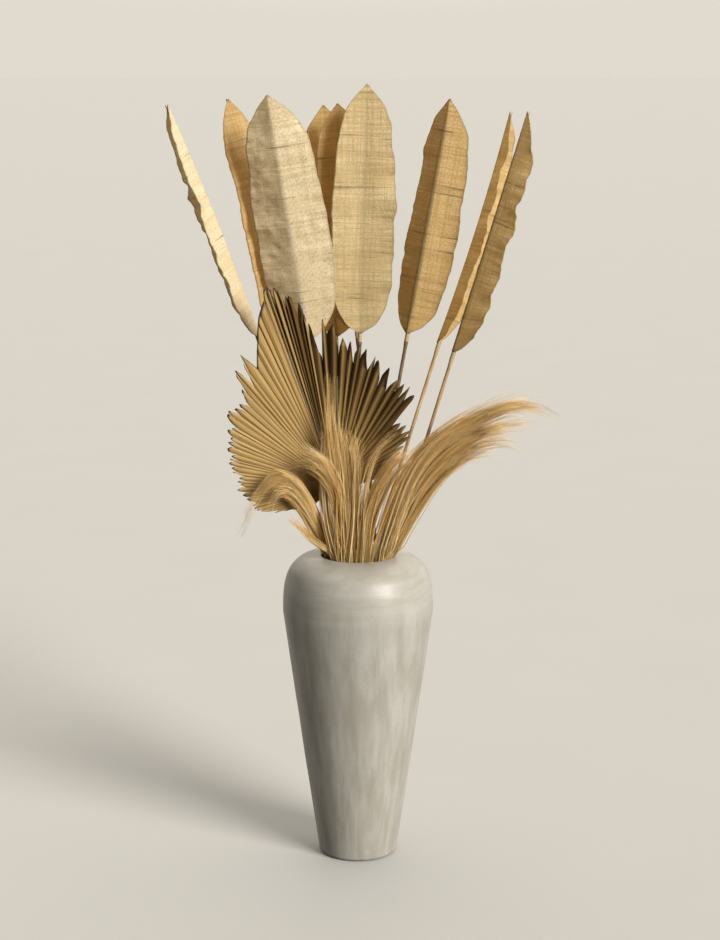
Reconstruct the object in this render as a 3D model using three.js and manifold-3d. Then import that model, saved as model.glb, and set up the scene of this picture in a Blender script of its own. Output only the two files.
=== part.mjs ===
// Vase of dried plants: a tall limewashed vase that holds nine woven fibre leaves on sticks,
// one pleated palm fan and five tufts of dried grass.
// Millimetres, +Z up, origin on the floor under the middle of the vase, +X right, +Y to the back.

import * as THREE from 'three';
import Module from 'manifold-3d';

// Vase
const VASE_HEIGHT = 594;
const VASE_WALL = 12;
const VASE_SEGMENTS = 30;
const FOOT_RADIUS = 76;
const FOOT_ROUND = 8;
const WIDEST_RADIUS = 143.5;
const WIDEST_HEIGHT = 485;
const BODY_BULGE = 0.7;
const SHOULDER_CENTRE_RADIUS = 60;
const SHOULDER_POWER = 3;
const MOUTH_RADIUS = 70;
const LIP_ROUND = 5;

// Woven leaves
const BLADE_THICKNESS = 1.6;
const BLADE_ROWS = 24;
const BLADE_COLUMNS = 4;
const BLADE_WAVES = 8;
const RIPPLE_HEIGHT = 4.5;
const SCALLOP_SHARE = 0.04;
const STICK_RADIUS = 3.3;
const STICK_TIP_RADIUS = 1.5;
const STICK_GAP = 0.4;

// Half width of a blade as a share of its greatest, from its base at 0 to its tip at 1
const BLADE_OUTLINE = [
  [0, 0.08], [0.04, 0.5], [0.14, 0.88], [0.45, 1], [0.75, 0.9], [0.88, 0.7], [0.94, 0.42], [1, 0.02],
];

// Each leaf: the foot of its stick in the vase, its tip, the turn of its face in degrees (0 to the
// front, more to the right), the fold of each half towards the face, its half width and length and,
// where they differ from a plain leaf's, how far its rib bows out of the straight line towards the
// face, the side of the stick that it is on and the share of its outline cut off at a blunt base
const PLAIN_LEAF = { bow: 0, side: 1, cut: 0 };
const LEAVES = [
  { foot: [83, 49, 297], tip: [-344, -80, 1437], turn: -80, fold: 30, half: 57, length: 455, bow: -6, side: -1 },
  { foot: [61, 40, 114], tip: [-240, -4, 1447], turn: 52, fold: -6, half: 54, length: 455, bow: 22 },
  { foot: [40, 69, 168], tip: [-160, -116, 1456], turn: -8, fold: -20, half: 72, length: 455 },
  { foot: [13, -2, 30], tip: [-67, 140, 1434], turn: 15, fold: 15, half: 58, length: 438 },
  { foot: [72, 15, 174], tip: [-39, 78, 1438], turn: 12, fold: 12, half: 58, length: 425 },
  { foot: [-24, -20, 30], tip: [17, 28, 1474], turn: 0, fold: 8, half: 59, length: 458 },
  { foot: [-70, -4, 102], tip: [171, 20, 1447], turn: -32, fold: -29, half: 60, length: 438 },
  { foot: [-85, -24, 234], tip: [293, 137, 1421], turn: 80, fold: 30, half: 54, length: 458, bow: 5, side: -1 },
  { foot: [-71, 27, 150], tip: [309, -65, 1425], turn: -70, fold: -31, half: 48, length: 458, cut: 0.08 },
].map((leaf) => ({ ...PLAIN_LEAF, ...leaf }));

// Palm fan: the point where its pleats meet, its lean and fold towards the front, and its outline
// as angle from the right in degrees and reach
const PALM_HUB = [-43, -50, 736];
const PALM_LEAN = 0.2;
const PALM_FOLD = 0.3;
const PALM_FOLD_ANGLE = 98;
const PALM_PLEATS = 33;
const PALM_ROWS = 4;
const PALM_PLEAT_DEPTH = 0.026;
const PALM_NOTCH = 0.965;
const PALM_THICKNESS = 1.6;
const PALM_INNER_RADIUS = 6;
const PALM_OUTLINE = [
  [8, 85], [30, 125], [37, 178], [45, 178], [50, 230], [62, 248], [80, 284], [92, 322], [95, 275], [98, 318],
  [105, 394], [114, 352], [125, 298], [140, 248], [160, 202], [180, 172], [191, 152], [203, 122], [222, 70],
];
const PALM_STEM_PATH = [[8, -20, 17], [-20, -22, 594], [-41, -47, 728]];
const PALM_STEM_RADIUS = 4.5;

// Grass tufts: a bundle of stems that stands in the vase and splits above the mouth into locks,
// which lie between the guide curves given from one edge of the tuft to the other
const STEMS_RADIUS = 4.5;
const LOCK_SIDES = 4;
const LOCK_TAPER = [[0, 0.7], [0.2, 0.9], [0.4, 1], [0.6, 0.9], [0.8, 0.6], [1, 0.1]];
const LOCK_RAGGED = 0.1;
const TUFTS = [
  {
    name: 'grass_right', foot: [47, -21, 17], top: [44, -28, 606], bundle: 15, locks: 9, lock: 7,
    guides: [
      [[34, -35, 598], [34, -84, 697], [77, -118, 808], [150, -125, 865], [240, -128, 911]],
      [[38, -34, 598], [56, -60, 673], [106, -80, 788], [169, -92, 862], [251, -98, 908], [333, -95, 934]],
      [[40, -33, 598], [58, -60, 673], [108, -80, 786], [171, -92, 857], [315, -100, 914], [389, -104, 863]],
      [[45, -32, 598], [75, -64, 674], [133, -90, 778], [206, -105, 852], [278, -112, 894], [327, -115, 900]],
      [[50, -28, 598], [88, -55, 662], [134, -85, 745], [197, -105, 815], [260, -115, 850], [323, -120, 855]],
      [[51, -25, 598], [88, -55, 658], [138, -85, 738], [206, -105, 795], [260, -115, 804]],
    ],
  },
  {
    name: 'grass_centre', foot: [-11, -27, 17], top: [-17, -48, 606], bundle: 13, locks: 5, lock: 6.5,
    guides: [
      [[-25, -50, 598], [-44, -80, 716], [-55, -105, 815], [-72, -125, 893]],
      [[-18, -52, 598], [-24, -80, 716], [-36, -105, 833], [-45, -125, 929], [-45, -140, 1014]],
      [[-11, -51, 598], [-9, -82, 716], [-7, -108, 815], [0, -122, 888]],
    ],
  },
  {
    name: 'grass_left', foot: [-37, -23, 17], top: [-49, -22, 606], bundle: 9, locks: 5, lock: 5,
    guides: [
      [
        [-52, -26, 598], [-75, -58, 660], [-101, -95, 728],
        [-136, -122, 764], [-166, -138, 758], [-190, -146, 716],
      ],
      [
        [-52, -26, 598], [-75, -58, 653], [-101, -95, 719],
        [-134, -122, 749], [-184, -145, 707], [-234, -152, 637],
      ],
      [
        [-52, -26, 598], [-74, -58, 646], [-98, -95, 704],
        [-128, -122, 724], [-156, -138, 708], [-170, -145, 664],
      ],
    ],
  },
  {
    name: 'grass_wisps', foot: [-25, -44, 17], top: [-42, -40, 606], bundle: 4.5, locks: 2, lock: 3,
    guides: [
      [[-44, -42, 598], [-93, -74, 656], [-122, -100, 692], [-150, -112, 706]],
      [[-44, -42, 598], [-88, -80, 642], [-118, -106, 668], [-144, -118, 678]],
    ],
  },
  {
    name: 'grass_inner', foot: [4, -40, 17], top: [8, -53, 606], bundle: 6.5, locks: 3, lock: 5,
    guides: [
      [[6, -55, 598], [6, -80, 690], [24, -112, 790], [30, -128, 860]],
      [[9, -55, 598], [10, -78, 676], [24, -108, 759], [52, -132, 820], [95, -147, 856]],
    ],
  },
];

// Colours of the finished pieces
const LIMEWASH = 0xb3aea3;
const WOVEN = 0xc9a468;
const BARK = 0x7a5838;
const PALM = 0x9c7a4c;
const STRAW = 0xc99a4e;

const wasm = await Module();
wasm.setup();

function vector(point) {
  return new THREE.Vector3(...point);
}

function named(name, geometry, colour, roughness) {
  const material = new THREE.MeshStandardMaterial({ color: colour, roughness, metalness: 0 });
  const mesh = new THREE.Mesh(geometry, material);
  mesh.name = name;
  return mesh;
}

function indexed(positions, triangles) {
  const geometry = new THREE.BufferGeometry();
  geometry.setAttribute('position', new THREE.Float32BufferAttribute(positions, 3));
  geometry.setIndex(triangles);
  geometry.computeVertexNormals();
  return geometry;
}

// Value at x of a smooth line through points of [x, value]
function smoothLine(points, x) {
  const last = points.length - 2;
  let k = points.findIndex((point, i) => i <= last && x <= points[i + 1][0]);
  if (k < 0) k = last;
  const slope = (i) => {
    const a = points[Math.max(i - 1, 0)];
    const b = points[Math.min(i + 1, points.length - 1)];
    return (b[1] - a[1]) / (b[0] - a[0]);
  };
  const span = points[k + 1][0] - points[k][0];
  const s = (x - points[k][0]) / span;
  const rise = points[k + 1][1] - points[k][1];
  const start = slope(k) * span - rise;
  const end = rise - slope(k + 1) * span;
  return points[k][1] + rise * s + s * (1 - s) * (start * (1 - s) + end * s);
}

// Closed sheet from a grid: pointAt(i, j, side) gives its front at side 1 and its back at side -1,
// where i, j and the front's outward direction are right-handed
function sheet(columns, rows, pointAt) {
  const positions = [];
  const triangles = [];
  for (const side of [1, -1]) {
    for (let j = 0; j <= rows; j += 1) {
      for (let i = 0; i <= columns; i += 1) positions.push(...pointAt(i, j, side).toArray());
    }
  }
  const layer = (columns + 1) * (rows + 1);
  const front = (i, j) => j * (columns + 1) + i;
  const back = (i, j) => layer + front(i, j);
  for (let j = 0; j < rows; j += 1) {
    for (let i = 0; i < columns; i += 1) {
      triangles.push(front(i, j), front(i + 1, j), front(i + 1, j + 1));
      triangles.push(front(i, j), front(i + 1, j + 1), front(i, j + 1));
      triangles.push(back(i, j), back(i + 1, j + 1), back(i + 1, j));
      triangles.push(back(i, j), back(i, j + 1), back(i + 1, j + 1));
    }
  }
  const rim = [];
  for (let i = 0; i < columns; i += 1) rim.push([i, 0]);
  for (let j = 0; j < rows; j += 1) rim.push([columns, j]);
  for (let i = columns; i > 0; i -= 1) rim.push([i, rows]);
  for (let j = rows; j > 0; j -= 1) rim.push([0, j]);
  rim.forEach((p, k) => {
    const q = rim[(k + 1) % rim.length];
    triangles.push(front(...p), back(...p), back(...q));
    triangles.push(front(...p), back(...q), front(...q));
  });
  return indexed(positions, triangles);
}

// Closed tube through rings that each have a centre and a radius
function taperedTube(rings, sides) {
  const positions = [];
  const triangles = [];
  const last = rings.length - 1;
  const corner = (ring, side) => ring * sides + (side % sides);
  const normal = new THREE.Vector3(1, 0, 0);
  rings.forEach(({ centre, radius }, k) => {
    const before = rings[Math.max(k - 1, 0)].centre;
    const after = rings[Math.min(k + 1, last)].centre;
    const tangent = after.clone().sub(before).normalize();
    normal.addScaledVector(tangent, -normal.dot(tangent)).normalize();
    const binormal = new THREE.Vector3().crossVectors(tangent, normal);
    for (let side = 0; side < sides; side += 1) {
      const angle = (2 * Math.PI * side) / sides;
      const point = centre.clone().addScaledVector(normal, radius * Math.cos(angle));
      positions.push(...point.addScaledVector(binormal, radius * Math.sin(angle)).toArray());
    }
  });
  for (let ring = 0; ring < last; ring += 1) {
    for (let side = 0; side < sides; side += 1) {
      triangles.push(corner(ring, side), corner(ring, side + 1), corner(ring + 1, side + 1));
      triangles.push(corner(ring, side), corner(ring + 1, side + 1), corner(ring + 1, side));
    }
  }
  for (let side = 1; side < sides - 1; side += 1) {
    triangles.push(corner(0, 0), corner(0, side + 1), corner(0, side));
    triangles.push(corner(last, 0), corner(last, side), corner(last, side + 1));
  }
  return indexed(positions, triangles);
}

// Rings along a curve, from stations of a share of its length and a radius
function ringsAlong(curve, stations) {
  return stations.map(([share, radius]) => ({ centre: curve.getPointAt(share), radius }));
}

function solidOf(geometry) {
  const vertProperties = new Float32Array(geometry.attributes.position.array);
  const triVerts = new Uint32Array(geometry.index.array);
  return new wasm.Manifold(new wasm.Mesh({ numProp: 3, vertProperties, triVerts }));
}

function joined(geometries) {
  const solid = geometries.map(solidOf).reduce((sum, next) => sum.add(next));
  const mesh = solid.getMesh();
  return indexed(Array.from(mesh.vertProperties), Array.from(mesh.triVerts));
}

// Vase

function bodyRadius(height) {
  const share = (height - FOOT_ROUND) / (WIDEST_HEIGHT - FOOT_ROUND);
  return FOOT_RADIUS + (WIDEST_RADIUS - FOOT_RADIUS) * share + BODY_BULGE * Math.sin(Math.PI * share);
}

// Point of the shoulder's curve, from the widest ring at 0 to the top at 90 degrees
function shoulderPoint(degrees, inset) {
  const angle = THREE.MathUtils.degToRad(degrees);
  const power = 2 / SHOULDER_POWER;
  const reach = WIDEST_RADIUS - inset - SHOULDER_CENTRE_RADIUS;
  const rise = VASE_HEIGHT - inset - WIDEST_HEIGHT;
  const radius = SHOULDER_CENTRE_RADIUS + reach * Math.cos(angle) ** power;
  return new THREE.Vector2(radius, WIDEST_HEIGHT + rise * Math.sin(angle) ** power);
}

function vaseGeometry() {
  const profile = [new THREE.Vector2(0, 0)];
  for (const degrees of [-90, -45, 0]) {
    const angle = THREE.MathUtils.degToRad(degrees);
    const radius = FOOT_RADIUS - FOOT_ROUND + FOOT_ROUND * Math.cos(angle);
    profile.push(new THREE.Vector2(radius, FOOT_ROUND + FOOT_ROUND * Math.sin(angle)));
  }
  for (const height of [170, 330, WIDEST_HEIGHT]) profile.push(new THREE.Vector2(bodyRadius(height), height));
  for (const degrees of [8, 22, 38, 54, 68, 78]) profile.push(shoulderPoint(degrees, 0));
  for (const degrees of [90, 135, 180]) {
    const angle = THREE.MathUtils.degToRad(degrees);
    const radius = MOUTH_RADIUS + LIP_ROUND + LIP_ROUND * Math.cos(angle);
    profile.push(new THREE.Vector2(radius, VASE_HEIGHT - LIP_ROUND + LIP_ROUND * Math.sin(angle)));
  }
  profile.push(new THREE.Vector2(MOUTH_RADIUS, VASE_HEIGHT - VASE_WALL));
  for (const degrees of [64, 40, 18]) profile.push(shoulderPoint(degrees, VASE_WALL));
  profile.push(new THREE.Vector2(WIDEST_RADIUS - VASE_WALL, WIDEST_HEIGHT));
  profile.push(new THREE.Vector2(bodyRadius(250) - VASE_WALL, 250));
  profile.push(new THREE.Vector2(bodyRadius(VASE_WALL) - VASE_WALL, VASE_WALL));
  profile.push(new THREE.Vector2(0, VASE_WALL));
  const geometry = new THREE.LatheGeometry(profile, VASE_SEGMENTS);
  return geometry.rotateX(Math.PI / 2);
}

// Woven leaves

// Directions of a leaf along its stick, out of its face and to its right, and its rib from base to tip
function leafFrame(leaf) {
  const tip = vector(leaf.tip);
  const along = tip.clone().sub(vector(leaf.foot)).normalize();
  const turn = THREE.MathUtils.degToRad(leaf.turn);
  const face = new THREE.Vector3(Math.sin(turn), -Math.cos(turn), 0);
  face.addScaledVector(along, -face.dot(along)).normalize();
  const right = new THREE.Vector3().crossVectors(along, face);
  const ribAt = (t) => {
    const point = tip.clone().addScaledVector(along, -leaf.length * (1 - t));
    return point.addScaledVector(face, leaf.bow * Math.sin(Math.PI * t));
  };
  return { face, right, ribAt };
}

function bladeGeometry(leaf) {
  const { face, right, ribAt } = leafFrame(leaf);
  const fold = THREE.MathUtils.degToRad(leaf.fold);
  const offset = (leaf.side * (STICK_RADIUS + STICK_GAP + BLADE_THICKNESS / 2)) / Math.cos(fold);
  const pointAt = (i, j, side) => {
    const across = (2 * i) / BLADE_COLUMNS - 1;
    const t = j / BLADE_ROWS;
    const wave = 2 * Math.PI * BLADE_WAVES * t + (across < 0 ? leaf.turn : 2 + leaf.turn);
    const edge = across * across;
    const outline = smoothLine(BLADE_OUTLINE, leaf.cut + (1 - leaf.cut) * t);
    const half = leaf.half * outline * (1 + SCALLOP_SHARE * edge * Math.sin(wave));
    const ripple = RIPPLE_HEIGHT * edge * Math.sqrt(Math.sin(Math.PI * t)) * Math.cos(wave);
    const lift = Math.abs(across) * half * Math.sin(fold) + ripple;
    const point = ribAt(t).addScaledVector(right, across * half * Math.cos(fold));
    return point.addScaledVector(face, offset + lift + (side * BLADE_THICKNESS) / 2);
  };
  return sheet(BLADE_COLUMNS, BLADE_ROWS, pointAt);
}

function stickGeometry(leaf) {
  const { ribAt } = leafFrame(leaf);
  const rings = [{ centre: vector(leaf.foot), radius: STICK_RADIUS }];
  for (const t of leaf.bow ? [0, 0.32, 0.64, 0.96] : [0, 0.96]) {
    rings.push({ centre: ribAt(t), radius: THREE.MathUtils.lerp(STICK_RADIUS, STICK_TIP_RADIUS, t) });
  }
  return taperedTube(rings, 6);
}

// Palm fan

function palmGeometry() {
  const first = PALM_OUTLINE[0][0];
  const spread = PALM_OUTLINE[PALM_OUTLINE.length - 1][0] - first;
  const hub = vector(PALM_HUB);
  const pointAt = (i, j, side) => {
    const degrees = first + (spread * j) / (2 * PALM_PLEATS);
    const angle = THREE.MathUtils.degToRad(degrees);
    const ridge = j % 2 === 1;
    const reach = smoothLine(PALM_OUTLINE, degrees) * (ridge ? 1 : PALM_NOTCH);
    const radius = THREE.MathUtils.lerp(PALM_INNER_RADIUS, reach, i / PALM_ROWS);
    const fromFold = Math.abs(Math.sin(THREE.MathUtils.degToRad(degrees - PALM_FOLD_ANGLE)));
    const rise = radius * Math.sin(angle);
    const pleat = radius * PALM_PLEAT_DEPTH * (ridge ? 1 : -1);
    const forward = PALM_LEAN * rise + PALM_FOLD * radius * fromFold + pleat + (side * PALM_THICKNESS) / 2;
    return hub.clone().add(new THREE.Vector3(radius * Math.cos(angle), -forward, rise));
  };
  return sheet(PALM_ROWS, 2 * PALM_PLEATS, pointAt);
}

function palmStemGeometry() {
  const curve = new THREE.CatmullRomCurve3(PALM_STEM_PATH.map(vector));
  const stations = [0, 0.4, 0.7, 0.8, 0.9, 1].map((share) => [share, PALM_STEM_RADIUS]);
  return taperedTube(ringsAlong(curve, stations), 6);
}

// Grass tufts

// Curve of one lock, a share of the way from the first guide to the last and cut to a share of its length
function lockCurve(guides, share, cut) {
  const place = share * (guides.length - 1);
  const low = Math.min(Math.floor(place), guides.length - 2);
  const points = [];
  for (let k = 0; k <= 8; k += 1) {
    const t = (cut * k) / 8;
    points.push(guides[low].getPoint(t).lerp(guides[low + 1].getPoint(t), place - low));
  }
  return new THREE.CatmullRomCurve3(points);
}

function tuftGeometry(tuft) {
  const guides = tuft.guides.map((points) => new THREE.CatmullRomCurve3(points.map(vector)));
  const stems = new THREE.LineCurve3(vector(tuft.foot), vector(tuft.top));
  const thin = Math.min(tuft.bundle, STEMS_RADIUS);
  const stemStations = [[0, thin], [0.55, thin], [0.8, tuft.bundle], [1, tuft.bundle]];
  const pieces = [taperedTube(ringsAlong(stems, stemStations), 6)];
  for (let n = 0; n < tuft.locks; n += 1) {
    const cut = 1 - LOCK_RAGGED * (n % 2);
    const curve = lockCurve(guides, n / (tuft.locks - 1), cut);
    const stations = LOCK_TAPER.map(([share, part]) => [share, part * tuft.lock]);
    pieces.push(taperedTube(ringsAlong(curve, stations), LOCK_SIDES));
  }
  return joined(pieces);
}

// The whole object

const bouquet = new THREE.Group();
bouquet.add(named('vase', vaseGeometry(), LIMEWASH, 0.6));
LEAVES.forEach((leaf, k) => {
  bouquet.add(named(`woven_leaf_${k + 1}`, bladeGeometry(leaf), WOVEN, 0.8));
  bouquet.add(named(`leaf_stick_${k + 1}`, stickGeometry(leaf), BARK, 0.7));
});
bouquet.add(named('palm_fan', palmGeometry(), PALM, 0.7));
bouquet.add(named('palm_stem', palmStemGeometry(), PALM, 0.7));
TUFTS.forEach((tuft) => bouquet.add(named(tuft.name, tuftGeometry(tuft), STRAW, 0.8)));

export default bouquet;
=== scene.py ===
# Looks of the vase of dried plants: a limewashed vase, nine woven leaves on sticks, a pleated
# palm fan and five tufts of dried grass, built in the frame's metres where the solids stand.
import math

import bpy
import numpy as np
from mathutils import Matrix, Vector, noise


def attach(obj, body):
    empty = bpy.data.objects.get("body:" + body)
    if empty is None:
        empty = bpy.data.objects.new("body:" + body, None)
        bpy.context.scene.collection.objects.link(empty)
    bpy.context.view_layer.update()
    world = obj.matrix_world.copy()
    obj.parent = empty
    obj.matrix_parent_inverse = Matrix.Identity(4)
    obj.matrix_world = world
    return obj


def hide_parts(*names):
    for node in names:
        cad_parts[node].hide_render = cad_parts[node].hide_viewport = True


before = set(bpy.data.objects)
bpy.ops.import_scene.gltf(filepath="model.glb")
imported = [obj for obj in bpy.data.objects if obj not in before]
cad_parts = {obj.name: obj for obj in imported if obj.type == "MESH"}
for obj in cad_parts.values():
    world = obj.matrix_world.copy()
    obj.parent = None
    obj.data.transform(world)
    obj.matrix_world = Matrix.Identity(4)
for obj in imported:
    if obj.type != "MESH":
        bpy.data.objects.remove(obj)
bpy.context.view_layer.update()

MM = 0.001
SEED = 41

# Camera, fitted to the photo: place, downward pitch and focal length in pixels of a frame 940 high
CAMERA_PLACE = (0.004, -3.714, 1.492)
CAMERA_PITCH = 11.2
FOCAL_PIXELS = 2000
FRAME_HEIGHT = 940
SENSOR = 36

# Light: a soft key from the right of the camera, and a room that is brightest above and behind, with
# an even pale band along the horizon; the floor is as pale as that band
KEY_TURN = 45
KEY_RISE = 24
KEY_SPREAD = 28
KEY_STRENGTH = 6.2
KEY_COLOUR = (1.0, 0.965, 0.9)
ROOM_BASE = 0.08
ROOM_BACK = 1.5
ROOM_RISE = (0.2, 1.0)
ROOM_BRIGHT_SIDE = (0.0, 0.55, 0.835)
ROOM_COLOUR = (1.0, 0.94, 0.83)
HORIZON_GLOW = 0.75
HORIZON_RISE = (0.06, 0.09)
FLOOR_REACH = 2000

# Vase; its lengths and those of the plants are in millimetres
VASE_HEIGHT = 594
VASE_WALL = 12
FOOT_RADIUS = 76
FOOT_ROUND = 8
WIDEST_RADIUS = 143.5
WIDEST_HEIGHT = 485
BODY_BULGE = 0.7
SHOULDER_CENTRE_RADIUS = 60
SHOULDER_POWER = 3
MOUTH_RADIUS = 70
LIP_ROUND = 5
LIP_CLEARANCE = 4
LIP_REACH = 12
VASE_SEGMENTS = 160
FOOT_RINGS = 8
BODY_RINGS = 60
SHOULDER_RINGS = 30
SHOULDER_END = 78
LIP_RINGS = 9
INNER_SHOULDER_RINGS = 14
INNER_SHOULDER_END = 68
INSIDE_RINGS = 24
HAND_MADE = 0.5
HAND_MADE_SIZE = 55
HAND_MADE_FADE = 40

# Woven leaves
BLADE_THICKNESS = 0.9
BLADE_COLUMNS = 36
BLADE_ROWS = 150
RIPPLE_HEIGHT = 6
SCALLOP_SHARE = 0.07
LONG_WAVE = 44
SHORT_WAVE = 20
DENT_SIZE = 52
DENT_DEPTH = 2.0
CRINKLE_SIZE = 15
CRINKLE_DEPTH = 0.8
PUCKER_LENGTH = 2.6
PUCKER_HEIGHT = 0.5
PUCKER_DRIFT = 40
SMOOTH_BY_RIB = 0.35
HEM_SHARE = 0.05
HEM_THICKNESS = 1.8
STICK_RADIUS = 3.3
STICK_TIP_RADIUS = 1.5
STICK_GAP = 0.4
STICK_OFFSET = STICK_RADIUS + STICK_GAP + 0.8
STICK_SIDES = 10
STICK_RINGS = 60
TAPE_LENGTH = 24
TAPE_OVERLAP = 4
TAPE_THICKNESS = 0.9
WIRE_RADIUS = 0.9
WIRE_FROM = 0.96
BARK_HEIGHT = 0.25
BARK_SIZE = 6
KNOT_SPACING = 118
KNOT_HEIGHT = 0.35
KNOT_LENGTH = 4.0
WEAVE_PITCH = 2.2 * MM
BLADE_OUTLINE = [
    (0, 0.08), (0.04, 0.5), (0.14, 0.88), (0.45, 1), (0.75, 0.9), (0.88, 0.7), (0.94, 0.42), (1, 0.02),
]

# Each leaf: the foot of its stick, its tip, the turn of its face, the fold of its halves, its half
# width and length, the bow of its rib, the side of the stick that it is on, the share of its outline
# cut off at the base, how wavy its left and right edges are, how crumpled it is, its cloth and stick
LEAVES = [
    ((83, 49, 297), (-344, -80, 1437), -80, 30, 57, 455, -6, -1, 0, (0.9, 0.9), 0.6, "cream", "dark"),
    ((61, 40, 114), (-240, -4, 1447), 52, -6, 54, 455, 22, 1, 0, (0.5, 0.8), 1.0, "amber", "dark"),
    ((40, 69, 168), (-160, -116, 1456), -8, -20, 72, 455, 0, 1, 0, (0.8, 0.5), 2.2, "cream", "dark"),
    ((13, -2, 30), (-67, 140, 1434), 15, 15, 58, 438, 0, 1, 0, (0.7, 0.7), 1.0, "amber", "dark"),
    ((72, 15, 174), (-39, 78, 1438), 12, 12, 58, 425, 0, 1, 0, (0.6, 0.6), 1.0, "amber", "dark"),
    ((-24, -20, 30), (17, 28, 1474), 0, 8, 59, 458, 0, 1, 0, (0.4, 1.1), 0.9, "straw", "dark"),
    ((-70, -4, 102), (171, 20, 1447), -32, -29, 60, 438, 0, 1, 0, (1.1, 0.5), 0.8, "gold", "dark"),
    ((-85, -24, 234), (293, 137, 1421), 80, 30, 54, 458, 5, -1, 0, (0.9, 0.9), 0.8, "gold", "tan"),
    ((-71, 27, 150), (309, -65, 1425), -70, -31, 48, 458, 0, 1, 0.08, (0.8, 1.0), 0.8, "gold", "tan"),
]
LEAF_WORDS = (
    "foot", "tip", "turn", "fold", "half", "length", "bow", "side", "cut",
    "waves", "crumple", "cloth", "stick",
)

# Palm fan: its outline is the reach from the hub at each angle, in degrees up from the right
PALM_HUB = (-43, -50, 736)
PALM_LEAN = 0.2
PALM_FOLD = 0.3
PALM_FOLD_ANGLE = 98
PALM_COLUMNS = 6
PALM_ROWS = 30
PALM_PLEAT_DEPTH = 0.02
BAND_PLEAT = 0.9
RIGHT_PLEAT = 0.7
LEFT_PLEAT = 0.25
PALM_UNEVEN = (0.6, 1.4)
PALM_CREST = (0.3, 1.6)
PALM_SPLITS = (0.92, 0.985)
RIGHT_TOOTH = 1.025
RIGHT_TOOTH_SLOPE = 0.07
LEFT_TOOTH = 1.01
LEFT_TOOTH_SLOPE = 0.02
TOOTH_UNEVEN = 0.012
TIP_CURL = 3
PALM_THICKNESS = 0.7
PALM_INNER_RADIUS = 6
PALM_OUTLINE = [
    (9, 45), (15, 84), (27, 120), (35, 156), (39.5, 182), (47, 178), (50, 184), (51, 230),
    (54, 238), (61, 236), (69, 255), (78, 270), (86, 287), (90, 302), (94, 325), (95.2, 274),
    (98, 308), (101, 353), (104, 382), (107.5, 394), (112.5, 354), (116.5, 310), (120.8, 272), (123, 310),
    (125.8, 273), (128, 290), (130, 268), (133, 240), (140, 248), (146, 230), (152, 217), (159, 202),
    (165, 198), (171, 178), (182, 173), (188, 154), (196, 148), (202, 120), (208, 90), (217, 58),
    (222, 50),
]
PALM_LEAFLET_WIDTHS = [(9, 3.4), (94, 3.4), (97, 1.3), (108, 1.3), (111, 2.4), (222, 2.7)]
# angles of the band of tight pleats by the fold and of the fold of the lower right lobe, both darkened with
# painted shade
PALM_SHADED_BAND = (97, 108)
PALM_SHADED_FOLD = (49, 55)
PALM_WHOLE = (108, 121)
PALM_STEM_PATH = [(8, -20, 17), (-20, -22, 594), (-41, -47, 728)]
PALM_STEM_RADIUS = 4.5

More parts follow.
